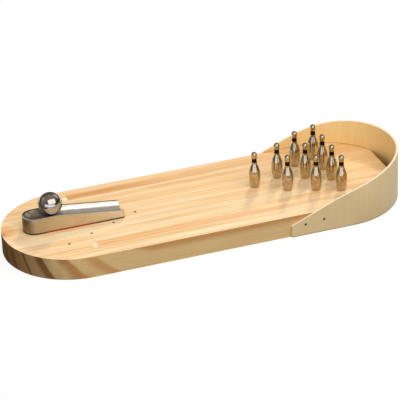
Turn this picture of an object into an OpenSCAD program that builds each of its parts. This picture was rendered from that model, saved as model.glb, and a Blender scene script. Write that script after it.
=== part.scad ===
// Table bowling game: a pine lane with a bent veneer backstop, ten chromed pins, a steel ball and
// the loose cast launcher that it rolls down.
// The lane runs along X, from the launcher's end at -X to the pins at +X. The origin is the middle
// of the footprint, on the surface that the game stands on. Sizes are in millimetres.

/* [Lane board] */
// Length of the board, without the backstop
board_l = 285; // [250:1:330]
// Width of the board, which is also the diameter of its round end
board_w = 98; // [88:1:120]
// Thickness of the board
board_t = 15.5; // [12:0.5:22]
// How far the straight sawn end at the pins stays short of a full half round
rear_cut = 5.5; // [3:0.5:8]
// Radius of the corners beside the straight sawn end
rear_corner_r = 6; // [3:0.5:10]
// How far those corners stand proud of the round end, so that the arcs cross and don't just touch
rear_corner_proud = 0.03; // [0.02:0.01:0.04]

/* [Backstop wall] */
// Thickness of the bent veneer
wall_t = 1.6; // [1:0.1:3]
// Height of the wall at its rearmost place, from the underside of the board
wall_h = 36.4; // [34:0.2:38]
// Height of the upright front edge of each arm
wall_end_h = 8.6; // [7:0.1:12]
// Length of each straight arm, from its front edge to the bend
wall_arm_l = 46; // [36:1:60]
// Slope of each arm's slanted edge, in degrees
wall_slope = 23; // [19:0.5:25]
// Length of the straight part of that edge along the lane, before it starts to level out
wall_slant_l = 24; // [18:1:34]
// Glue gap between the veneer and the board
wall_gap = 0.1; // [0.05:0.05:0.3]

/* [Brads] */
// Diameter of a brad's head, set flush in the veneer
nail_head_d = 1.8; // [1.4:0.1:2.6]
// Thickness of a brad's head
nail_head_t = 0.5; // [0.3:0.1:0.8]
// Diameter of a brad's shank
nail_shank_d = 1; // [0.8:0.1:1.2]
// Length of a brad with its head
nail_l = 12; // [8:0.5:16]
// Distance of the front brad from the arm's front edge
nail_front_x = 10; // [8:0.5:14]
// Distance between the two brads of an arm
nail_pitch = 13.7; // [8:0.1:18]
// Height of the front brad above the underside
nail_front_z = 8.2; // [6:0.1:9]
// Height of the rear brad above the underside
nail_rear_z = 9.5; // [7:0.1:11]
// Clearance round a brad in its hole
nail_gap = 0.03; // [0.02:0.01:0.05]

/* [Marks in the lane] */
// Diameter of a drilled mark
mark_d = 1.8; // [1.2:0.1:2.4]
// Depth of a drilled mark
mark_depth = 2; // [1:0.5:4]
// Marks on each arm of the aiming V, beside the one at its tip
aim_arm_marks = 3; // [2:1:4]
// Step between the aiming marks along the lane
aim_step_x = 18.3; // [14:0.1:20]
// Step between the aiming marks across the lane
aim_step_y = 8.6; // [6:0.1:9]
// Distance of the V's tip from the round end of the board
aim_tip_x = 94; // [90:1:100]

/* [Pins] */
// Height of a pin
pin_h = 27; // [25.4:0.2:30]
// Diameter of the flat base
pin_base_d = 5.7; // [4.6:0.1:6.4]
// Largest diameter of the belly
pin_belly_d = 8.1; // [7.6:0.1:9.4]
// Height of the belly's widest place
pin_belly_z = 9; // [8:0.1:10]
// Height at which the bulging belly turns into the hollow shoulder
pin_shoulder_z = 16.4; // [15:0.1:17.4]
// Diameter of the neck
pin_neck_d = 3.6; // [3.2:0.1:3.8]
// Height at which the neck begins
pin_neck_z = 19.9; // [19:0.1:20.6]
// Length of the straight neck
pin_neck_l = 2.1; // [1.4:0.1:2.6]
// Diameter of the head
pin_head_d = 4.1; // [4:0.1:4.6]
// Depth of the turned groove that holds the black band
band_depth = 0.12; // [0.05:0.01:0.2]
// Height of the black band
band_h = 2.5; // [1.6:0.1:2.9]
// Height of the band's lower edge above the pin's base
band_z = 19.8; // [19.4:0.1:20.4]

/* [Pin rack] */
// Distance of the head pin from the round end of the board
head_pin_x = 183.2; // [180:0.1:188]
// How far the head pin stands to the left of the lane's middle
head_pin_y = 2.5; // [-3:0.1:3]
// Distance of the second row behind the head pin
row_2_x = 19.5; // [15:0.1:21]
// Distance between the two pins of the second row
row_2_pitch = 20.5; // [16:0.1:22]
// How far the second row stands to the left of the lane's middle
row_2_y = -0.8; // [-3:0.1:3]
// Distance of the third row behind the head pin
row_3_x = 37.7; // [34:0.1:41]
// Distance between neighbouring pins of the third row
row_3_pitch = 20.2; // [16:0.1:21]
// How far the third row stands to the left of the lane's middle
row_3_y = 1.5; // [-2:0.1:2]
// Distance of the fourth row behind the head pin
row_4_x = 53.7; // [51:0.1:56]
// Distance between neighbouring pins of the fourth row
row_4_pitch = 17.5; // [15:0.1:20]
// How far the fourth row stands to the left of the lane's middle
row_4_y = 0.2; // [-2:0.1:2]

/* [Ball] */
// Diameter of the steel ball
ball_d = 16.5; // [16:0.1:17.4]

/* [Launcher] */
// Length of the launcher
launcher_l = 70; // [66:1:76]
// Width of the launcher
launcher_w = 16.6; // [16.2:0.1:18]
// Height of its level rear rim above the lane
launcher_h = 11.4; // [10.5:0.1:13]
// Height of the rim above the lane at the front end
launcher_front_h = 5.9; // [5.8:0.1:7]
// Distance from the rear end at which the rim starts to drop
launcher_level_l = 23.4; // [22:0.2:28]
// Width of the rim on each side of the trough
rim_w = 1.8; // [1.6:0.1:2]
// Depth of the trough below its rims
trough_depth = 4.3; // [4:0.1:4.4]
// Radius of the launcher's front corners
launcher_corner_r = 1.2; // [0.6:0.1:2]
// Distance of the ball's seat from the rear end
seat_x = 20.1; // [18:0.1:22]
// Gap between the ball and the metal round it
ball_gap = 0.3; // [0.2:0.05:0.35]
// Distance of the launcher's rear end from the round end of the board
launcher_x = 15; // [8:1:22]
// How far the launcher stands to the left of the lane's middle
launcher_y = 2.9; // [-6:0.1:6]

/* [Felt pad] */
// Thickness of the felt
felt_t = 0.8; // [0.5:0.1:0.9]
// How deep the felt is let into a notch across the launcher's underside
felt_sunk = 0.7; // [0.2:0.1:0.7]
// Length of the felt
felt_l = 35; // [26:1:40]
// Distance of the felt from the launcher's front end
felt_front = 21; // [14:1:26]

/* [Hidden] */
$fn = 96;
// Overlap that lets a cutting shape pass a face
eps = 1;

// Places along the lane, with the footprint centred on the origin
end_r = board_w / 2;
wall_r_in = end_r + wall_gap;
wall_r_out = wall_r_in + wall_t;
front_x = -(board_l + wall_gap + wall_t) / 2;
nose_x = front_x + end_r;
bend_x = front_x + board_l - end_r;
sawn_x = front_x + board_l - rear_cut;
arm_x = bend_x - wall_arm_l;

// Corners of the sawn end: circles that touch the straight cut and just cross the round end
corner_x = sawn_x - rear_corner_r;
corner_reach = end_r - rear_corner_r + rear_corner_proud;
corner_y = sqrt(pow(corner_reach, 2) - pow(corner_x - bend_x, 2));
corner_meet_x = bend_x + (corner_x - bend_x) * end_r / corner_reach;

// Top edge of the wall: a straight slant, then an arc that levels out toward the rearmost place
slant_x = arm_x + wall_slant_l;
slant_z = wall_end_h + wall_slant_l * tan(wall_slope);
crest_run = bend_x + wall_r_out - slant_x;
crest_rise = wall_h - slant_z;
crest_r = (pow(crest_run, 2) + pow(crest_rise, 2))
    / (2 * (crest_run * sin(wall_slope) - crest_rise * cos(wall_slope)));

// Rows of the pin rack
row_x = [0, row_2_x, row_3_x, row_4_x];
row_y = [head_pin_y, row_2_y, row_3_y, row_4_y];
row_pitch = [0, row_2_pitch, row_3_pitch, row_4_pitch];

// Pin profile: each arc runs smoothly into the next
pin_base_r = pin_base_d / 2;
pin_belly_r = pin_belly_d / 2;
pin_neck_r = pin_neck_d / 2;
pin_head_r = pin_head_d / 2;
belly_step = pin_belly_r - pin_base_r;
belly_arc_r = (pow(pin_belly_z, 2) + pow(belly_step, 2)) / (2 * belly_step);
neck_rise = pin_neck_z - pin_belly_z;
neck_step = pin_belly_r - pin_neck_r;
both_arcs_r = (pow(neck_rise, 2) + pow(neck_step, 2)) / (2 * neck_step);
bulge_arc_r = both_arcs_r * (pin_shoulder_z - pin_belly_z) / neck_rise;
shoulder_arc_r = both_arcs_r - bulge_arc_r;
head_z = pin_h - pin_head_r;
throat_z = pin_neck_z + pin_neck_l;
throat_rise = head_z - throat_z;
head_step = pin_head_r - pin_neck_r;
throat_arc_r = (pow(throat_rise, 2) + pow(head_step, 2)) / (2 * head_step) - pin_head_r;
chin_z = head_z - throat_rise * pin_head_r / (pin_head_r + throat_arc_r);

// Launcher, measured from its rear end and from the lane's surface
half_w = launcher_w / 2;
mouth_r = half_w - rim_w;
drop_angle = atan((launcher_h - launcher_front_h) / (launcher_l - launcher_level_l));
trough_r = (pow(mouth_r, 2) + pow(trough_depth, 2)) / (2 * trough_depth);
ball_r = ball_d / 2;
swept_r = ball_r + ball_gap;
ball_over_rim = sqrt(pow(swept_r, 2) - pow(mouth_r, 2));
rim_at_seat = launcher_h + (launcher_level_l - seat_x) * tan(drop_angle);
ball_z = rim_at_seat + ball_over_rim / cos(drop_angle);
dish_z = ball_z - swept_r;
dish_depth = launcher_h - dish_z;
dish_r = (pow(mouth_r, 2) + pow(dish_depth, 2)) / (2 * dish_depth);
foot_z = felt_t - felt_sunk;
felt_x = launcher_l - felt_front - felt_l;

// Sawn and rounded outline of the board
module board_outline() {
    translate([nose_x, 0]) circle(end_r);
    translate([nose_x, -end_r]) square([bend_x - nose_x, board_w]);
    intersection() {
        translate([bend_x, 0]) circle(end_r);
        translate([bend_x, -end_r]) square([corner_meet_x - bend_x, board_w]);
    }
    for (side = [-1, 1]) translate([corner_x, side * corner_y]) circle(rear_corner_r);
    translate([bend_x, -corner_y]) square([sawn_x - bend_x, 2 * corner_y]);
}

// One drilled mark at the lane's surface
module mark(x, y) {
    translate([x, y, board_t - mark_depth]) cylinder(d = mark_d, h = mark_depth + eps, $fn = 32);
}

// Places of the pins, row by row from the head pin, each row from left to right
function pin_place(number) =
    let (row = number == 1 ? 0 : number <= 3 ? 1 : number <= 6 ? 2 : 3)
    let (column = number - 1 - row * (row + 1) / 2)
    [front_x + head_pin_x + row_x[row], row_y[row] + (row / 2 - column) * row_pitch[row]];

// Brad, pointing along -Y from its head's face
module brad_shape(gap) {
    rotate([90, 0, 0]) {
        cylinder(d = nail_head_d + 2 * gap, h = nail_head_t, $fn = 32);
        cylinder(d = nail_shank_d + 2 * gap, h = nail_l + gap, $fn = 32);
    }
}

// A brad at its place: side is 1 on the left arm and -1 on the right, place is 0 in front
module place_brad(side, place) {
    x = arm_x + nail_front_x + place * nail_pitch;
    z = place == 0 ? nail_front_z : nail_rear_z;
    translate([x, side * wall_r_out, z]) mirror([0, side == 1 ? 0 : 1, 0]) children();
}

module all_brad_holes() {
    for (side = [-1, 1]) for (place = [0, 1]) place_brad(side, place) brad_shape(nail_gap);
}

module lane_board() {
    color("burlywood") difference() {
        linear_extrude(board_t) board_outline();
        for (step = [-aim_arm_marks : aim_arm_marks])
            mark(front_x + aim_tip_x - abs(step) * aim_step_x, step * aim_step_y);
        for (number = [1 : 10]) mark(pin_place(number)[0], pin_place(number)[1]);
        all_brad_holes();
    }
}

// Outline of the bent band, seen from above
module band_outline() {
    difference() {
        union() {
            translate([bend_x, 0]) circle(wall_r_out);
            translate([arm_x, -wall_r_out]) square([wall_arm_l, 2 * wall_r_out]);
        }
        translate([bend_x, 0]) circle(wall_r_in);
        translate([arm_x - eps, -wall_r_in]) square([wall_arm_l + eps, 2 * wall_r_in]);
        translate([arm_x - 2 * wall_r_out, -2 * wall_r_out]) square([2 * wall_r_out, 4 * wall_r_out]);
    }
}

// Side view of the band: a straight slant from the arm's front edge, then the long arc
module band_side() {
    polygon([[arm_x, 0], [slant_x, 0], [slant_x, slant_z], [arm_x, wall_end_h]]);
    intersection() {
        translate([slant_x, 0]) square([crest_run + eps, 2 * wall_h]);
        translate([slant_x + crest_r * sin(wall_slope), slant_z - crest_r * cos(wall_slope)])
            circle(crest_r, $fn = 360);
    }
}

module backstop_wall() {
    color("tan") difference() {
        intersection() {
            linear_extrude(2 * wall_h) band_outline();
            translate([0, wall_r_out + eps, 0]) rotate([90, 0, 0])
                linear_extrude(2 * (wall_r_out + eps)) band_side();
        }
        all_brad_holes();
    }
}

module wall_nail(side, place) {
    color("dimgray") place_brad(side, place) brad_shape(0);
}

// Launcher seen from above, with its rear end at x = 0
module launcher_plan() {
    translate([half_w, 0]) circle(half_w);
    translate([half_w, -half_w]) square([launcher_l - launcher_corner_r - half_w, launcher_w]);
    translate([half_w, launcher_corner_r - half_w])
        square([launcher_l - half_w, launcher_w - 2 * launcher_corner_r]);
    for (side = [-1, 1])
        translate([launcher_l - launcher_corner_r, side * (half_w - launcher_corner_r)])
            circle(launcher_corner_r, $fn = 48);
}

// Launcher seen from the side: a level rear rim, then a straight drop
module launcher_side() {
    polygon([
        [-eps, foot_z], [launcher_l + eps, foot_z],
        [launcher_l + eps, launcher_front_h - eps * tan(drop_angle)],
        [launcher_level_l, launcher_h], [-eps, launcher_h]
    ]);
}

// Dished seat: a spoon behind the ball that runs on down the slope in front of it
module seat_cut() {
    translate([half_w, 0, dish_z + dish_r]) sphere(dish_r);
    translate([half_w, 0, dish_z + dish_r]) rotate([0, 90, 0]) cylinder(r = dish_r, h = seat_x - half_w);
    translate([seat_x, 0, ball_z]) rotate([0, 90 + drop_angle, 0])
        translate([swept_r - dish_r, 0, 0]) cylinder(r = dish_r, h = launcher_l);
}

// Open trough below the seat's lip, which is round like the ball above it
module trough_cut() {
    difference() {
        translate([launcher_level_l, 0, launcher_h]) rotate([0, 90 + drop_angle, 0])
            translate([trough_depth - trough_r, 0, -ball_r]) cylinder(r = trough_r, h = launcher_l);
        translate([seat_x, 0, 0]) cylinder(r = ball_r, h = launcher_h + trough_r);
        translate([-launcher_l, -launcher_w, 0]) cube([launcher_l + seat_x, 2 * launcher_w, 4 * launcher_w]);
    }
}

// Everything of the launcher stands where the player left it
module at_launcher() {
    translate([front_x + launcher_x, launcher_y, board_t]) children();
}

module launcher() {
    color("silver") at_launcher() difference() {
        intersection() {
            linear_extrude(launcher_h + eps) launcher_plan();
            translate([0, launcher_w, 0]) rotate([90, 0, 0]) linear_extrude(2 * launcher_w) launcher_side();
        }
        seat_cut();
        trough_cut();
        translate([felt_x, -launcher_w, 0]) cube([felt_l, 2 * launcher_w, felt_t]);
    }
}

module felt_pad() {
    color("firebrick") at_launcher()
        translate([felt_x, -half_w, 0]) cube([felt_l, launcher_w, felt_t]);
}

module ball() {
    color("lightsteelblue") at_launcher() translate([seat_x, 0, ball_z]) sphere(ball_r);
}

// Half outline of a pin, from the axis outwards
module pin_half() {
    intersection() {
        translate([pin_belly_r - belly_arc_r, pin_belly_z]) circle(belly_arc_r, $fn = 360);
        square([2 * pin_belly_r, pin_belly_z]);
    }
    intersection() {
        translate([pin_belly_r - bulge_arc_r, pin_belly_z]) circle(bulge_arc_r, $fn = 360);
        translate([0, pin_belly_z]) square([2 * pin_belly_r, pin_shoulder_z - pin_belly_z]);
    }
    difference() {
        translate([0, pin_shoulder_z]) square([pin_belly_r, pin_neck_z - pin_shoulder_z]);
        translate([pin_neck_r + shoulder_arc_r, pin_neck_z]) circle(shoulder_arc_r, $fn = 360);
    }
    translate([0, pin_neck_z]) square([pin_neck_r, pin_neck_l]);
    difference() {
        translate([0, throat_z]) square([pin_head_r, chin_z - throat_z]);
        translate([pin_neck_r + throat_arc_r, throat_z]) circle(throat_arc_r, $fn = 360);
    }
    intersection() {
        translate([0, head_z]) circle(pin_head_r);
        translate([0, chin_z]) square([2 * pin_head_r, pin_h]);
    }
}

// Ring cut for the painted band, as deep as the groove all along the tapering neck
module band_groove() {
    translate([0, 0, band_z]) difference() {
        cylinder(d = 2 * pin_head_d, h = band_h);
        translate([0, 0, -eps]) cylinder(d = pin_neck_d - 2 * band_depth, h = band_h + 2 * eps);
    }
}

module pin(number) {
    color("gainsboro") translate([pin_place(number)[0], pin_place(number)[1], board_t])
        difference() {
            rotate_extrude() pin_half();
            band_groove();
        }
}

lane_board();
backstop_wall();
wall_nail(1, 0);  // wall_nail_left_front
wall_nail(1, 1);  // wall_nail_left_rear
wall_nail(-1, 0);  // wall_nail_right_front
wall_nail(-1, 1);  // wall_nail_right_rear
launcher();
felt_pad();
ball();
pin(1);  // pin_1
pin(2);  // pin_2
pin(3);  // pin_3
pin(4);  // pin_4
pin(5);  // pin_5
pin(6);  // pin_6
pin(7);  // pin_7
pin(8);  // pin_8
pin(9);  // pin_9
pin(10);  // pin_10
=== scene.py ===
"""Looks, light and camera for the table bowling game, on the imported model's frame.

The lane runs along X from the launcher (-X) to the pins (+X), Y is the player's left, Z is up.
Places in materials and outlines are in millimetres, and MM turns them into metres. Bump distances
and the studio (camera, floor and lamps) are in metres.
"""
import math

import bmesh
import bpy
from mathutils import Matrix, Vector


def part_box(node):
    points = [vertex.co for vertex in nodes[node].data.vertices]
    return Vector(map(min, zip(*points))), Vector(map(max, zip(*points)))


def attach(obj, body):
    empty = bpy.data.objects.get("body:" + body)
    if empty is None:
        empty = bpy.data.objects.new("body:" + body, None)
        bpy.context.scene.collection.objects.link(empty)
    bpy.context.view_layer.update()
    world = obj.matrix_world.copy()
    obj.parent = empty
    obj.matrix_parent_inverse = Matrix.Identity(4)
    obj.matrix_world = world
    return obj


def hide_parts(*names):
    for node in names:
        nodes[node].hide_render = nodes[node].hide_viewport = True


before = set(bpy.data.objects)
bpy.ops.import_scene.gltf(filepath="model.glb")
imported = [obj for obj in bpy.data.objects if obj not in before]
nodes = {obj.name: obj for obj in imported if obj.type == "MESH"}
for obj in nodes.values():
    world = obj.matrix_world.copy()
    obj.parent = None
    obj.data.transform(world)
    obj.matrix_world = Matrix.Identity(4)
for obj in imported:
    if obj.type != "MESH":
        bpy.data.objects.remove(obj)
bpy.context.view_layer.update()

MM = 0.001

# Places that the materials need, in millimetres, as in the part's source
LANE_TOP = 15.5
HALF_BOARD = 49.0   # half the board's width, and the radius of its round end
NOSE_X = -94.35     # centre of the board's round end
BEND_X = 92.65      # centre of the wall's bend

# Fineness of the turned meshes: segments round the axis, and steps from pole to pole
PIN_SEGMENTS = 96
BALL_SEGMENTS = 192
BALL_STEPS = 96

# Carried-over nodes: corners closer than this are one, and edges above this angle are softened
WELD_DISTANCE = 0.004
EDGE_ANGLE = 32.0


# ---------------------------------------------------------------- node trees
class Graph:
    """The node tree of a material or of the world, built by short calls."""

    def __init__(self, owner):
        owner.use_nodes = True
        self.tree = owner.node_tree
        self.tree.nodes.clear()

    def add(self, kind, inputs=None, **settings):
        node = self.tree.nodes.new(kind)
        for name, value in settings.items():
            setattr(node, name, value)
        for name, value in (inputs or {}).items():
            self.put(value, node.inputs[name])
        return node

    def put(self, value, socket):
        """Links a socket to a value that is one itself, and else sets it."""
        if isinstance(value, bpy.types.NodeSocket):
            self.tree.links.new(value, socket)
        else:
            socket.default_value = value

    def math(self, operation, a, b=0.0, c=0.0):
        node = self.add("ShaderNodeMath", operation=operation)
        for socket, value in zip(node.inputs, (a, b, c)):
            self.put(value, socket)
        return node.outputs[0]

    def product(self, first, *others):
        for factor in others:
            first = self.math("MULTIPLY", first, factor)
        return first

    def vector(self, operation, a, b=(0.0, 0.0, 0.0), scale=1.0):
        node = self.add("ShaderNodeVectorMath", operation=operation)
        self.put(a, node.inputs[0])
        if operation == "SCALE":
            self.put(scale, node.inputs["Scale"])
        else:
            self.put(b, node.inputs[1])
        return node.outputs["Value" if operation in ("DOT_PRODUCT", "LENGTH") else "Vector"]

    def split(self, vector):
        node = self.add("ShaderNodeSeparateXYZ", {0: vector})
        return node.outputs[0], node.outputs[1], node.outputs[2]

    def join(self, x, y, z):
        return self.add("ShaderNodeCombineXYZ", {0: x, 1: y, 2: z}).outputs[0]

    def noise(self, place, scale=1.0, detail=2.0, rough=0.5, distortion=0.0):
        node = self.add("ShaderNodeTexNoise", {
            "Vector": place, "Scale": scale, "Detail": detail, "Roughness": rough,
            "Distortion": distortion})
        return node.outputs[0]

    def smooth(self, value, low, high, out_low=0.0, out_high=1.0):
        """A soft step from out_low at low to out_high at high; high may be the smaller one."""
        node = self.add("ShaderNodeMapRange", interpolation_type="SMOOTHSTEP")
        for socket, given in zip(node.inputs, (value, low, high, out_low, out_high)):
            self.put(given, socket)
        return node.outputs[0]

    def ramp(self, value, stops):
        node = self.add("ShaderNodeValToRGB", {0: value})
        elements = node.color_ramp.elements
        while len(elements) < len(stops):
            elements.new(1.0)
        for element, (place, colour) in zip(elements, stops):
            element.position = place
            element.color = (*colour, 1.0)
        return node.outputs[0]

    def mix(self, factor, a, b, blend="MIX"):
        """Mixes two colours, which are inputs 6 and 7 and output 2 of a Mix node."""
        node = self.add("ShaderNodeMix", data_type="RGBA", blend_type=blend)
        self.put(factor, node.inputs[0])
        for socket, value in ((node.inputs[6], a), (node.inputs[7], b)):
            self.put(value if isinstance(value, bpy.types.NodeSocket) else (*value, 1.0), socket)
        return node.outputs[2]

    def bump(self, height, strength, distance):
        return self.add("ShaderNodeBump", {
            "Height": height, "Strength": strength, "Distance": distance}).outputs[0]

    def surface(self, **inputs):
        shader = self.add("ShaderNodeBsdfPrincipled")
        for name, value in inputs.items():
            self.put(value, shader.inputs[name.replace("_", " ")])
        self.add("ShaderNodeOutputMaterial", {"Surface": shader.outputs[0]})


def material(name):
    made = bpy.data.materials.new(name)
    return made, Graph(made)


def srgb(red, green, blue):
    """A colour written in 0-255 sRGB, as the linear colour that a shader takes."""
    return tuple(
        (v / 255 / 12.92) if v <= 10 else ((v / 255 + 0.055) / 1.055) ** 2.4
        for v in (red, green, blue))


def millimetres(graph):
    """The place on the object, in millimetres."""
    place = graph.add("ShaderNodeTexCoord").outputs["Object"]
    return graph.vector("SCALE", place, scale=1000.0)


def facing(graph):
    """The way the surface faces."""
    return graph.add("ShaderNodeNewGeometry").outputs["Normal"]


# ---------------------------------------------------------------- pine
# Streaks of the top: start along the lane, place across it, length, half width, strength, colour
STREAKS = (
    (-87.5, 38.5, 84.0, 5.6, 0.85, srgb(218, 154, 90)),
    (-87.0, 39.0, 420.0, 5.5, 0.40, srgb(228, 172, 112)),
    (-87.5, -32.3, 300.0, 5.4, 0.62, srgb(240, 180, 122)),
    (-60.0, 17.0, 110.0, 5.0, 0.40, srgb(238, 186, 124)),
    (-72.0, 1.0, 60.0, 2.0, 0.50, srgb(234, 182, 122)),
    (-30.0, 30.0, 260.0, 2.2, 0.45, srgb(232, 178, 116)),
    (-120.0, -9.0, 330.0, 2.0, 0.35, srgb(240, 192, 136)),
    (-100.0, -16.5, 200.0, 1.6, 0.30, srgb(242, 196, 142)),
)

# Knots of the top: place along the lane and across it, radius, strength, colour. Two are the pale
# hearts where the long streaks begin, two make the orange swirl at the round end
KNOTS = (
    (-89.0, 37.5, 2.4, 0.9, srgb(255, 246, 220)),
    (-88.6, -34.5, 2.6, 1.0, srgb(255, 246, 220)),
    (-139.5, 7.5, 8.5, 0.70, srgb(236, 174, 106)),
    (-142.3, 4.0, 3.2, 0.6, srgb(206, 136, 72)),
)

# Growth rings on the sides: place of the sharp edge across the lane, width, strength
RINGS = (
    (62.0, 5.0, 0.5), (51.0, 4.5, 0.6), (40.0, 5.0, 0.7), (28.5, 4.0, 0.6), (18.0, 5.0, 0.7),
    (7.0, 4.0, 0.7), (-4.0, 5.5, 0.9), (-14.0, 4.5, 0.8), (-25.3, 2.6, 0.9), (-36.6, 6.5, 1.0),
    (-47.0, 6.0, 0.9), (-54.0, 4.5, 0.7), (-64.5, 3.0, 0.85), (-76.0, 4.0, 0.5),
)
RING_LEAN = 0.37


def pine_top(g, place, bands, drift, top):
    """Soft bands along the lane, darker to the far side, painted shade by the wall, streaks and
    knots.
    """
    x, y, _ = g.split(place)
    colour = g.ramp(bands, [
        (0.30, srgb(255, 231, 191)), (0.46, srgb(255, 226, 180)), (0.57, srgb(250, 211, 158)),
        (0.70, srgb(245, 199, 144))])
    far_half = g.smooth(y, -25.0, 35.0)
    colour = g.mix(g.product(far_half, 0.35), colour, srgb(243, 196, 138))
    # Painted shade: near the wall the top is painted a deeper orange, for the wall's shadow and the
    # light the orange wall throws into it
    painted_wall_shade = g.product(g.smooth(x, 78.0, 132.0), g.smooth(y, -38.0, 20.0))
    colour = g.mix(g.product(painted_wall_shade, 0.55), colour, srgb(246, 196, 124))

    side = g.math("ADD", y, drift)
    for start, centre, length, half, strength, tint in STREAKS:
        body = g.smooth(g.math("ABSOLUTE", g.math("SUBTRACT", side, centre)), half, half * 0.25)
        begin = g.smooth(x, start - 0.6, start + 1.2)
        fade = g.smooth(x, start + length, start + length * 0.25)
        amount = g.product(body, begin, fade, g.product(top, strength))
        colour = g.mix(amount, colour, tint)
    for knot_x, knot_y, radius, strength, tint in KNOTS:
        away = g.vector("SUBTRACT", place, (knot_x, knot_y, LANE_TOP))
        away = g.vector("LENGTH", g.vector("MULTIPLY", away, (1.0, 0.7, 1.0)))
        away = g.math("ADD", away, g.product(drift, 0.25))
        amount = g.product(g.smooth(away, radius, radius * 0.3), strength)
        colour = g.mix(amount, colour, tint)
    return colour


def pine_sides(g, place, bands, drift):
    """Growth rings: sheets along the plank that lean outward below and bow along it.

    Each ring darkens slowly and ends sharply. The round end is darker, partly for its end grain and
    partly as painted shade; the sawn end is pale.
    """
    x, y, z = g.split(place)
    nx, _, _ = g.split(facing(g))
    # The round end is darker partly for its end grain and partly as painted shade, as little light
    # reaches it from the left
    tip_grain_and_shade = g.smooth(nx, -0.50, -1.05)
    turned = g.smooth(nx, -0.12, -0.75)
    sawn = g.smooth(nx, 0.8, 0.98)

    bow = g.smooth(x, -122.0, -50.0, 0.0, -15.0)
    lean = g.math("MULTIPLY_ADD", z, -RING_LEAN, RING_LEAN * LANE_TOP)
    sheet = g.math("ADD", g.math("ADD", y, lean), g.math("MULTIPLY_ADD", drift, 0.25, bow))
    late = 0.0
    for edge, width, strength in RINGS:
        dark = g.smooth(sheet, edge + width, edge + 0.35 * width)
        dark = g.product(dark, g.smooth(sheet, edge - 0.5, edge + 0.7))
        late = g.math("MULTIPLY_ADD", dark, strength, late)
    late = g.product(late, g.math("MULTIPLY_ADD", turned, 0.1, 0.76))

    colour = g.mix(bands, srgb(228, 197, 142), srgb(213, 174, 115))
    colour = g.mix(g.product(turned, 0.55), colour, srgb(160, 126, 88))
    colour = g.mix(g.product(tip_grain_and_shade, 0.90), colour, srgb(112, 72, 14))
    colour = g.mix(late, colour, g.mix(turned, srgb(186, 120, 54), srgb(92, 52, 12)))
    return g.mix(sawn, colour, srgb(255, 226, 178))


def pine_material():
    """Pine: top and sides, dark drilled marks, and a fine grain over all."""
    made, g = material("pine")
    place = millimetres(g)
    x, y, z = g.split(place)
    _, _, nz = g.split(facing(g))
    top = g.smooth(nz, 0.3, 0.8)

    # Bands and grain, from coarse to fine, and how far the streaks and rings swerve
    wave = g.noise(g.vector("MULTIPLY", place, (0.006, 0.02, 0.03)), 1.0, 2.0)
    across = g.math("ADD", y, g.math("MULTIPLY_ADD", wave, 8.0, -4.0))
    bands = g.noise(g.join(g.product(x, 0.006), g.product(across, 0.17), 0.0), 1.0, 3.0, 0.6)
    grain = g.noise(g.vector("MULTIPLY", place, (0.012, 0.55, 0.55)), 1.0, 2.0, 0.6)
    fibres = g.noise(g.vector("MULTIPLY", place, (0.02, 1.1, 1.1)), 1.0, 3.0, 0.65)
    pores = g.noise(g.vector("MULTIPLY", place, (0.09, 3.4, 3.4)), 1.0, 2.0, 0.7)
    drift = g.noise(g.vector("MULTIPLY", place, (0.03, 0.15, 0.15)), 1.0, 3.0)
    drift = g.math("MULTIPLY_ADD", drift, 5.0, -2.5)

    sides = pine_sides(g, place, bands, drift)
    colour = g.mix(top, sides, pine_top(g, place, bands, drift, top))

    # The drilled marks are dark inside
    past_nose = g.math("MINIMUM", g.math("SUBTRACT", x, NOSE_X), 0.0)
    from_middle = g.vector("LENGTH", g.join(past_nose, y, 0.0))
    inside = g.smooth(from_middle, HALF_BOARD - 0.6, HALF_BOARD - 1.6)
    below = g.smooth(z, LANE_TOP - 0.02, LANE_TOP - 0.2)
    drilled = g.product(inside, below, g.smooth(z, 2.0, 4.0))
    colour = g.mix(drilled, colour, srgb(26, 14, 6))

    shade = g.math("MULTIPLY_ADD", fibres, 0.22, 0.89)
    shade = g.product(shade, g.math("MULTIPLY_ADD", pores, 0.10, 0.95))
    grain = g.smooth(grain, 0.3, 0.75, 0.03, -0.10)
    shade = g.product(shade, g.math("MULTIPLY_ADD", grain, g.smooth(nz, 0.0, 0.6), 1.0))
    shade = g.add("ShaderNodeCombineColor", {
        0: shade, 1: g.product(shade, shade), 2: g.math("POWER", shade, 3.0)}).outputs[0]
    colour = g.mix(1.0, colour, shade, "MULTIPLY")

    height = g.math("MULTIPLY_ADD", pores, 0.5, g.product(fibres, 0.5))
    g.surface(
        Base_Color=colour,
        Roughness=g.math("MULTIPLY_ADD", fibres, 0.2, g.smooth(nz, 0.0, 0.6, 0.60, 0.38)),
        Specular_IOR_Level=0.2,
        Normal=g.bump(height, 0.35, 0.00012))
    return made


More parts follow.
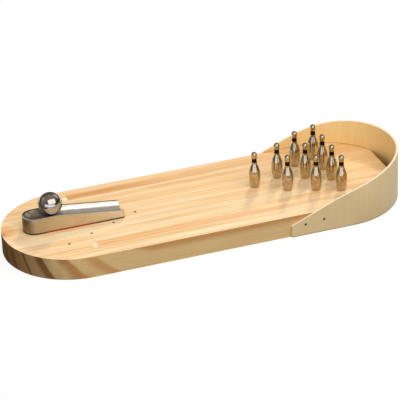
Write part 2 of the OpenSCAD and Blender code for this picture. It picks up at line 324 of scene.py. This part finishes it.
# ---------------------------------------------------------------- other materials
def veneer_material():
    """Veneer whose fibres run up the wall, so that it bends round the board."""
    made, g = material("veneer")
    place = millimetres(g)
    x, y, z = g.split(place)
    normal = facing(g)
    _, _, nz = g.split(normal)
    outward = g.join(g.math("MAXIMUM", g.math("SUBTRACT", x, BEND_X), 0.0), y, 0.0)
    outer = g.smooth(g.vector("DOT_PRODUCT", normal, outward), -2.0, 2.0)
    rim = g.smooth(nz, 0.45, 0.8)

    fibres = g.noise(g.vector("MULTIPLY", place, (1.3, 1.3, 0.035)), 1.0, 3.0, 0.6)
    cloud = g.noise(g.vector("MULTIPLY", place, (0.035, 0.035, 0.02)), 1.0, 3.0, 0.5)
    ticks = g.noise(g.vector("MULTIPLY", place, (3.2, 3.2, 0.22)), 1.0, 2.0, 0.7)

    # The inner face is painted a warmer orange behind the board's sawn end, as painted bounce light
    # in that shade. A brown line where the lane meets it is partly a glued joint and partly painted
    # shade
    inside = g.mix(cloud, srgb(252, 220, 154), srgb(243, 205, 135))
    painted_bounce_in_gap = g.product(g.smooth(z, LANE_TOP, LANE_TOP - 1.5), g.smooth(x, 98.0, 108.0))
    inside = g.mix(painted_bounce_in_gap, inside, srgb(255, 186, 98))
    glue_and_seam_shade = g.product(
        g.smooth(z, LANE_TOP + 1.0, LANE_TOP + 0.3), g.smooth(z, LANE_TOP - 0.5, LANE_TOP),
        g.smooth(x, 138.0, 133.0, 0.0, 0.5))
    inside = g.mix(glue_and_seam_shade, inside, srgb(190, 118, 52))

    outside = g.mix(cloud, srgb(228, 203, 153), srgb(214, 185, 134))
    colour = g.mix(outer, inside, outside)
    colour = g.mix(rim, colour, srgb(253, 235, 200))
    # Painted contact shade: the wall's lowest 1.2 mm is painted dark brown where it stands on the
    # floor
    foot = g.smooth(z, 1.2, 0.1, 0.0, 0.6)
    colour = g.mix(foot, colour, srgb(120, 84, 46))
    shade = g.math("MULTIPLY_ADD", fibres, 0.16, 0.92)
    shade = g.product(shade, g.math("MULTIPLY_ADD", ticks, 0.10, 0.95))
    shade = g.add("ShaderNodeCombineColor", {0: shade, 1: shade, 2: shade}).outputs[0]
    colour = g.mix(1.0, colour, shade, "MULTIPLY")
    height = g.math("ADD", fibres, g.product(ticks, 0.5))
    g.surface(
        Base_Color=colour,
        Roughness=g.math("MULTIPLY_ADD", fibres, 0.2, 0.40),
        Coat_Weight=0.1, Coat_Roughness=0.35,
        Normal=g.bump(height, 0.3, 0.0001))
    return made


def metal_material(name, colour, dark, rough, brush, brush_depth):
    """Polished metal: brush is the scale of the polishing marks along X, Y and Z."""
    made, g = material(name)
    place = millimetres(g)
    marks = g.noise(g.vector("MULTIPLY", place, brush), 1.0, 3.0, 0.6)
    smudges = g.noise(g.vector("MULTIPLY", place, (0.25, 0.25, 0.25)), 1.0, 3.0, 0.55)
    tint = g.mix(g.smooth(smudges, 0.35, 0.7), colour, dark)
    roughness = g.math("MULTIPLY_ADD", marks, rough, g.product(smudges, rough))
    g.surface(
        Base_Color=tint, Metallic=1.0, Roughness=roughness,
        Normal=g.bump(marks, brush_depth, 0.00005))
    return made


def launcher_material():
    """Satin trough with a painted dark reflection in the seat, and brushed sides painted a darker,
    warmer tone as a painted reflection of the wood.
    """
    made, g = material("cast_metal")
    place = millimetres(g)
    x, y, z = g.split(place)
    nx, _, nz = g.split(facing(g))
    side = g.smooth(g.math("ABSOLUTE", nz), 0.20, 0.05)
    brush = g.noise(g.vector("MULTIPLY", place, (0.08, 1.2, 3.0)), 1.0, 3.0, 0.6)
    smudges = g.noise(g.vector("MULTIPLY", place, (0.2, 0.4, 0.4)), 1.0, 3.0, 0.55)

    tint = g.mix(smudges, srgb(244, 239, 230), srgb(224, 216, 204))
    # Painted reflection: the dished seat is painted a darker olive tone, for the dark room mirrored
    # there
    seat = g.smooth(x, -96.0, -108.0, 0.0, 0.75)
    tint = g.mix(seat, tint, srgb(166, 156, 128))

    # The sides are painted a darker, warmer copy of the metal, as a painted reflection of the
    # wooden lane. They grow paler to the front end, and where the round end turns away to the left
    # they are painted dark brown, as a painted dark reflection
    flank_with_painted_reflection = g.mix(smudges, srgb(216, 198, 162), srgb(198, 178, 138))
    front_end = g.smooth(x, -92.0, -58.0, 0.0, 0.5)
    flank_with_painted_reflection = g.mix(front_end, flank_with_painted_reflection, srgb(240, 230, 214))
    painted_light_level = g.product(
        g.smooth(nx, 0.05, -0.90, 1.0, 0.36), g.smooth(x, -122.0, -96.0, 0.80, 1.0))
    flank_with_painted_reflection = g.mix(painted_light_level, srgb(84, 60, 26), flank_with_painted_reflection)
    tint = g.mix(side, tint, flank_with_painted_reflection)

    # Painted contact shade: the casting's lowest edge is painted dark brown where it meets the
    # board.
    # Between these two places along the lane it is painted dark red instead, a painted reflection
    # of the felt
    red_start, red_stop = -113.0, -77.5
    painted_felt_reflection = g.product(
        g.smooth(x, red_start, red_start + 1.5), g.smooth(x, red_stop, red_stop - 2.0))
    painted_contact_shade = g.mix(painted_felt_reflection, srgb(62, 34, 10), srgb(104, 10, 2))
    foot = g.smooth(z, LANE_TOP + 1.7, LANE_TOP + 0.7, 0.0, 0.88)
    tint = g.mix(foot, tint, painted_contact_shade)

    # The near rim is brushed, most at its outer edge, so it catches the light, and it is painted
    # paler as well, a painted highlight. The far rim is painted darker, a painted reflection of the
    # room's dark side
    low, high = (Vector(corner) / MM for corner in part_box("launcher"))
    half, middle = (high.y - low.y) / 2, (high.y + low.y) / 2
    from_nose = g.math("MINIMUM", g.math("SUBTRACT", x, low.x + half), 0.0)
    outline = g.vector("LENGTH", g.join(from_nose, g.math("SUBTRACT", y, middle), 0.0))
    rim_inside, rim_outside = half - 1.9, half - 0.5
    rims = g.product(g.smooth(outline, rim_inside, rim_outside), g.smooth(nz, 0.3, 0.9))
    far_rim_dark_reflection = g.product(rims, g.smooth(y, middle + 1.0, middle + 4.0))
    near_rim_brushed_and_highlight = g.math("SUBTRACT", rims, far_rim_dark_reflection)
    tint = g.mix(near_rim_brushed_and_highlight, tint, srgb(255, 250, 238))
    tint = g.mix(g.product(far_rim_dark_reflection, 0.5), tint, srgb(150, 140, 112))

    roughness = g.math("MULTIPLY_ADD", side, 0.18, 0.22)
    roughness = g.math("MULTIPLY_ADD", near_rim_brushed_and_highlight, 0.34, roughness)
    roughness = g.math("MULTIPLY_ADD", brush, 0.14, roughness)
    g.surface(
        Base_Color=tint, Metallic=1.0, Roughness=roughness,
        Normal=g.bump(g.math("ADD", brush, smudges), 0.2, 0.00004))
    return made


def paint_material():
    """The satin black paint of the pins' bands."""
    made, g = material("black_band")
    place = millimetres(g)
    speck = g.noise(place, 2.0, 3.0, 0.6)
    g.surface(
        Base_Color=g.mix(speck, srgb(6, 3, 3), srgb(18, 9, 8)),
        Roughness=g.math("MULTIPLY_ADD", speck, 0.2, 0.45), Specular_IOR_Level=0.12,
        Normal=g.bump(speck, 0.1, 0.00005))
    return made


def felt_material():
    """Red wool felt, a little darker in its tufts."""
    made, g = material("red_felt")
    place = millimetres(g)
    wool = g.noise(place, 3.0, 4.0, 0.7, 0.6)
    tufts = g.noise(place, 0.9, 2.0, 0.5)
    colour = g.mix(wool, srgb(152, 9, 5), srgb(206, 26, 15))
    colour = g.mix(g.product(tufts, 0.3), colour, srgb(150, 8, 8))
    g.surface(
        Base_Color=colour, Roughness=0.95, Sheen_Weight=0.15, Sheen_Roughness=0.5,
        Normal=g.bump(wool, 0.8, 0.0004))
    return made


# ---------------------------------------------------------------- meshes
def mesh_object(name, bm, materials, smooth=True):
    mesh = bpy.data.meshes.new(name)
    bm.normal_update()
    bm.to_mesh(mesh)
    bm.free()
    for given in materials:
        mesh.materials.append(given)
    for face in mesh.polygons:
        face.use_smooth = smooth
    made = bpy.data.objects.new(name, mesh)
    bpy.context.scene.collection.objects.link(made)
    return made


def lathe(profile, segments):
    """A closed turned body from (radius, height) points in millimetres, from pole to pole."""
    bm = bmesh.new()
    rings = []
    for radius, height in profile:
        if radius == 0:
            rings.append([bm.verts.new((0, 0, height * MM))])
            continue
        rings.append([
            bm.verts.new((radius * MM * math.cos(turn), radius * MM * math.sin(turn), height * MM))
            for turn in (2 * math.pi * i / segments for i in range(segments))])
    for low, high in zip(rings, rings[1:]):
        for i in range(segments):
            j = (i + 1) % segments
            corners = [
                low[i % len(low)], low[j % len(low)], high[j % len(high)], high[i % len(high)]]
            # A pole stands twice in the list, and a face takes it once
            bm.faces.new(list(dict.fromkeys(corners)))
    bmesh.ops.recalc_face_normals(bm, faces=bm.faces)
    return bm


def arc_points(centre, radius, start, stop, count):
    return [
        (centre[0] + radius * math.cos(start + (stop - start) * i / count),
         centre[1] + radius * math.sin(start + (stop - start) * i / count))
        for i in range(count + 1)]


def pin_profile():
    """The turned outline of a pin with its groove, and the heights between which it is painted.

    The arcs are those of the part's source: belly, bulge, shoulder, throat and head.
    """
    height, base_r, belly_r, belly_z, shoulder_z = 27.0, 2.85, 4.05, 9.0, 16.4
    neck_r, neck_z, neck_l, head_r = 1.8, 19.9, 2.1, 2.05
    groove_low, groove_high, groove_depth, foot = 19.8, 22.3, 0.12, 0.35
    step = belly_r - base_r
    belly_arc = (belly_z ** 2 + step ** 2) / (2 * step)
    rise, fall = neck_z - belly_z, belly_r - neck_r
    both_arcs = (rise ** 2 + fall ** 2) / (2 * fall)
    bulge_arc = both_arcs * (shoulder_z - belly_z) / rise
    shoulder_arc = both_arcs - bulge_arc
    meet = math.asin(rise / both_arcs)
    head_z = height - head_r
    throat_z = neck_z + neck_l
    grow, out = head_z - throat_z, head_r - neck_r
    throat_arc = (grow ** 2 + out ** 2) / (2 * out) - head_r
    chin = math.asin(grow / (head_r + throat_arc))
    belly_start = -math.asin(belly_z / belly_arc)

    points = [(0.0, 0.0), (base_r - foot, 0.0)]
    belly = arc_points((belly_r - belly_arc, belly_z), belly_arc, belly_start, 0.0, 24)
    points += [p for p in belly if p[1] > foot]
    points += arc_points((belly_r - bulge_arc, belly_z), bulge_arc, 0.0, meet, 24)[1:]
    shoulder = arc_points(
        (neck_r + shoulder_arc, neck_z), shoulder_arc, math.pi + meet, math.pi, 20)
    points += shoulder[1:]
    points += arc_points((neck_r + throat_arc, throat_z), throat_arc, math.pi, math.pi - chin, 14)
    points += arc_points((0.0, head_z), head_r, -chin, math.pi / 2, 22)[1:-1]
    points.append((0.0, height))

    # The groove takes the place of the points between its edges; the paint starts below it
    edge, clear, paint_below = 0.04, 0.05, 0.5
    low = [p for p in points if p[1] < groove_low - clear]
    high = [p for p in points if p[1] > groove_high + clear]
    bottom = neck_r - groove_depth
    groove = [(bottom + groove_depth, groove_low - edge), (bottom, groove_low + edge)]
    groove += [(bottom, groove_low + (groove_high - groove_low) * i / 6) for i in range(1, 6)]
    groove += [(bottom, groove_high - edge), (bottom + groove_depth, groove_high + edge)]
    return low + groove + high, (groove_low - paint_below, groove_high + clear)


def make_pins(chrome, paint):
    profile, (band_low, band_high) = pin_profile()
    for number in range(1, 11):
        node = f"pin_{number}"
        low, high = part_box(node)
        piece = mesh_object(f"turned_{node}", lathe(profile, PIN_SEGMENTS), [chrome, paint])
        piece.location = ((low[0] + high[0]) / 2, (low[1] + high[1]) / 2, low[2])
        for face in piece.data.polygons:
            middle = face.center[2] / MM
            face.material_index = 1 if band_low < middle < band_high else 0
        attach(piece, node)
        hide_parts(node)


def make_ball(steel):
    low, high = (Vector(corner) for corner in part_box("ball"))
    radius = (high.z - low.z) / 2 / MM
    turns = [math.pi * i / BALL_STEPS for i in range(1, BALL_STEPS)]
    profile = [(radius * math.sin(turn), -radius * math.cos(turn)) for turn in turns]
    profile = [(0.0, -radius)] + profile + [(0.0, radius)]
    piece = mesh_object("steel_ball", lathe(profile, BALL_SEGMENTS), [steel])
    piece.location = (low + high) / 2
    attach(piece, "ball")
    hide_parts("ball")


def make_felt(felt):
    """A flat strip of pressed felt with soft edges: two grids, and a rim that joins them."""
    low, high = (Vector(corner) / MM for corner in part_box("felt_pad"))
    bm = bmesh.new()
    across, along, round_over = 40, 80, 0.25
    grid = []
    for z in (low.z, high.z):
        rows = []
        for i in range(along + 1):
            row = []
            for j in range(across + 1):
                x = low.x + (high.x - low.x) * i / along
                y = low.y + (high.y - low.y) * j / across
                row.append(bm.verts.new((x * MM, y * MM, z * MM)))
            rows.append(row)
        grid.append(rows)
    for layer, rows in enumerate(grid):
        for i in range(along):
            for j in range(across):
                corners = [rows[i][j], rows[i + 1][j], rows[i + 1][j + 1], rows[i][j + 1]]
                bm.faces.new(corners if layer else corners[::-1])
    rim = [(i, 0) for i in range(along)] + [(along, j) for j in range(across)]
    rim += [(i, across) for i in range(along, 0, -1)] + [(0, j) for j in range(across, 0, -1)]
    for (i, j), (k, m) in zip(rim, rim[1:] + rim[:1]):
        bm.faces.new([grid[0][i][j], grid[0][k][m], grid[1][k][m], grid[1][i][j]])
    piece = mesh_object("felt_strip", bm, [felt])
    bevel = piece.modifiers.new("soft edge", "BEVEL")
    bevel.width = round_over * MM
    bevel.segments = 3
    bevel.limit_method = "ANGLE"
    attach(piece, "launcher")
    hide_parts("felt_pad")


def dress(node, given, edge, segments=3):
    """Gives a carried-over node its material and softens its sharp edges."""
    thing = nodes[node]
    thing.data.materials.clear()
    thing.data.materials.append(given)
    weld = thing.modifiers.new("weld", "WELD")
    weld.merge_threshold = WELD_DISTANCE * MM
    bevel = thing.modifiers.new("edge", "BEVEL")
    bevel.width = edge * MM
    bevel.segments = segments
    bevel.limit_method = "ANGLE"
    bevel.angle_limit = math.radians(EDGE_ANGLE)
    bevel.harden_normals = True


def make_pieces():
    pine = pine_material()
    veneer = veneer_material()
    chrome = metal_material(
        "pin_chrome", srgb(199, 183, 150), srgb(177, 160, 125),
        rough=0.09, brush=(0.4, 0.4, 5.0), brush_depth=0.04)
    steel = metal_material(
        "ball_steel", srgb(189, 182, 171), srgb(175, 167, 155),
        rough=0.10, brush=(1.5, 1.5, 1.5), brush_depth=0.02)
    brad = metal_material(
        "brad_steel", srgb(96, 80, 62), srgb(50, 42, 34),
        rough=0.35, brush=(2.0, 2.0, 2.0), brush_depth=0.4)
    dress("lane_board", pine, edge=0.4)
    dress("backstop_wall", veneer, edge=0.25)
    dress("launcher", launcher_material(), edge=0.6, segments=5)
    for side in ("left", "right"):
        for place in ("front", "rear"):
            dress(f"wall_nail_{side}_{place}", brad, edge=0.1, segments=2)
    make_felt(felt_material())
    make_pins(chrome, paint_material())
    make_ball(steel)


# ---------------------------------------------------------------- studio
def make_camera():
    """The photo's camera, fitted to the board, the wall and the rows of pins."""
    data = bpy.data.cameras.new("camera")
    data.sensor_width = 36.0
    data.lens = 198.0575
    data.clip_start = 0.05
    data.clip_end = 20.0
    camera = bpy.data.objects.new("camera", data)
    camera.location = (-0.42940, -1.28125, 0.73202)
    camera.rotation_euler = tuple(math.radians(turn) for turn in (62.0102, 2.032, -19.5298))
    bpy.context.scene.collection.objects.link(camera)
    bpy.context.scene.camera = camera


def towards(azimuth, elevation):
    """The direction to a place in the studio, from angles in degrees; azimuth 0 is along -Y."""
    turn, rise = math.radians(azimuth), math.radians(elevation)
    level = math.cos(rise)
    return Vector((math.sin(turn) * level, -math.cos(turn) * level, math.sin(rise)))


def area_lamp(name, azimuth, elevation, distance, width, height, power, colour):
    """A soft box that looks at the middle of the lane."""
    data = bpy.data.lights.new(name, "AREA")
    data.shape = "RECTANGLE"
    data.size = width
    data.size_y = height
    data.energy = power
    data.color = colour
    lamp = bpy.data.objects.new(name, data)
    back = towards(azimuth, elevation)
    lamp.location = back * distance
    lamp.rotation_euler = back.to_track_quat("Z", "Y").to_euler()
    bpy.context.scene.collection.objects.link(lamp)
    lamp.visible_camera = False
    return lamp


def make_floor():
    """A pale table top, a little larger than what the object shades.

    The metals see it white, apart from its dark left end and a dark strip in front of the board.
    """
    made, g = material("studio_floor")
    light = g.add("ShaderNodeLightPath")
    x, y, _ = g.split(millimetres(g))
    not_left = g.smooth(g.math("MULTIPLY_ADD", y, -0.5, x), -150.0, -118.0, 0.05, 1.0)
    strip = g.product(g.smooth(y, -95.0, -110.0), g.smooth(y, -230.0, -190.0))
    white = g.product(not_left, g.math("MULTIPLY_ADD", strip, -0.95, 1.0))
    mirrored = g.product(light.outputs["Is Glossy Ray"], white)
    seen = g.math("MAXIMUM", light.outputs["Is Camera Ray"], mirrored)
    seen = g.math("MAXIMUM", seen, light.outputs["Is Transmission Ray"])
    matt = g.add("ShaderNodeBsdfDiffuse", {"Color": (0.28, 0.275, 0.265, 1.0)})
    glow = g.add("ShaderNodeEmission", {
        "Color": (1.0, 1.0, 1.0, 1.0), "Strength": g.product(seen, 0.78)})
    both = g.add("ShaderNodeAddShader", {0: matt.outputs[0], 1: glow.outputs[0]})
    g.add("ShaderNodeOutputMaterial", {"Surface": both.outputs[0]})
    bm = bmesh.new()
    left, right, front, back = -0.175, 0.30, -0.40, 0.13
    corners = ((left, front), (right, front), (right, back), (left, back))
    bm.faces.new([bm.verts.new((*corner, 0.0)) for corner in corners])
    floor = mesh_object("studio_floor", bm, [made], smooth=False)


# The level direction from the lane to the camera
TO_CAMERA = (-0.317, -0.948, 0.0)

# The mirrored room's colour by height: 0 is straight down, 0.5 the horizon, 1 straight up
ROOM = (
    (0.0, (0.20, 0.15, 0.10)), (0.48, (0.13, 0.10, 0.075)), (0.54, (0.07, 0.06, 0.05)),
    (0.72, (0.10, 0.09, 0.08)), (0.9, (0.27, 0.245, 0.225)), (1.0, (0.36, 0.33, 0.30)),
)

# Dim panels of the room: azimuth, elevation, angle at which each fades out, colour
PANELS = (
    (120.0, 32.0, 26.0, (0.70, 0.68, 0.64)), (163.0, 24.0, 32.0, (0.13, 0.12, 0.11)),
    (-100.0, 28.0, 40.0, (0.30, 0.28, 0.25)), (-128.0, 34.0, 18.0, (0.60, 0.55, 0.50)),
)


def make_world():
    """White for the camera, soft light from above and the near side, and a room in the metals.

    The room has a bright band in front, from just below the horizon upward. It is darker elsewhere,
    most just above the horizon, with dim panels.
    """
    world = bpy.data.worlds.new("studio")
    bpy.context.scene.world = world
    g = Graph(world)
    light = g.add("ShaderNodeLightPath")
    direction = g.add("ShaderNodeTexCoord").outputs["Generated"]
    _, _, rise = g.split(direction)
    level = g.vector("NORMALIZE", g.vector("MULTIPLY", direction, (1.0, 1.0, 0.0)))
    room = g.ramp(g.math("MULTIPLY_ADD", rise, 0.5, 0.5), ROOM)
    # The white table goes on to the horizon, apart from a dark screen on the left
    screen = g.smooth(g.vector("DOT_PRODUCT", level, (-1.0, 0.0, 0.0)), 0.30, 0.70)
    table = g.product(g.smooth(rise, 0.01, -0.04), g.math("SUBTRACT", 1.0, screen))
    room = g.mix(table, room, (1.0, 1.0, 1.0))
    front = g.smooth(g.vector("DOT_PRODUCT", level, TO_CAMERA), 0.50, 0.80)
    band = g.product(g.smooth(rise, -0.12, -0.07), g.smooth(rise, 0.34, 0.29))
    room = g.mix(g.product(front, band), room, (1.40, 1.45, 1.8))
    for azimuth, elevation, spread, tint in PANELS:
        near = g.vector("DOT_PRODUCT", direction, tuple(towards(azimuth, elevation)))
        room = g.mix(g.smooth(near, math.cos(math.radians(spread)), 1.0), room, tint)
    from_above = g.vector("DOT_PRODUCT", direction, (-0.10, -0.45, 0.89))
    ambient = g.add("ShaderNodeBackground", {
        "Color": (0.95, 0.96, 1.0, 1.0), "Strength": g.smooth(from_above, -0.6, 1.0, 0.14, 0.64)})
    mirrored = g.add("ShaderNodeBackground", {"Color": room, "Strength": 1.0})
    white = g.add("ShaderNodeBackground", {"Color": (1.0, 1.0, 1.0, 1.0), "Strength": 1.0})
    gloss = g.add("ShaderNodeMixShader", {
        0: light.outputs["Is Glossy Ray"], 1: ambient.outputs[0], 2: mirrored.outputs[0]})
    clear = g.math("MAXIMUM", light.outputs["Is Camera Ray"], light.outputs["Is Transmission Ray"])
    both = g.add("ShaderNodeMixShader", {0: clear, 1: gloss.outputs[0], 2: white.outputs[0]})
    g.add("ShaderNodeOutputWorld", {"Surface": both.outputs[0]})


def make_studio():
    make_camera()
    make_floor()
    make_world()
    key = area_lamp(
        "key", azimuth=147.0, elevation=38.0, distance=1.4, width=0.2, height=0.2, power=7.5,
        colour=(1.0, 0.95, 0.86))
    key.visible_glossy = False
    area_lamp(
        "window", azimuth=6.0, elevation=47.0, distance=1.4, width=2.0, height=1.15, power=13.1,
        colour=(1.0, 0.99, 0.97))
    bpy.context.scene.view_settings.view_transform = "Standard"


make_pieces()
make_studio()
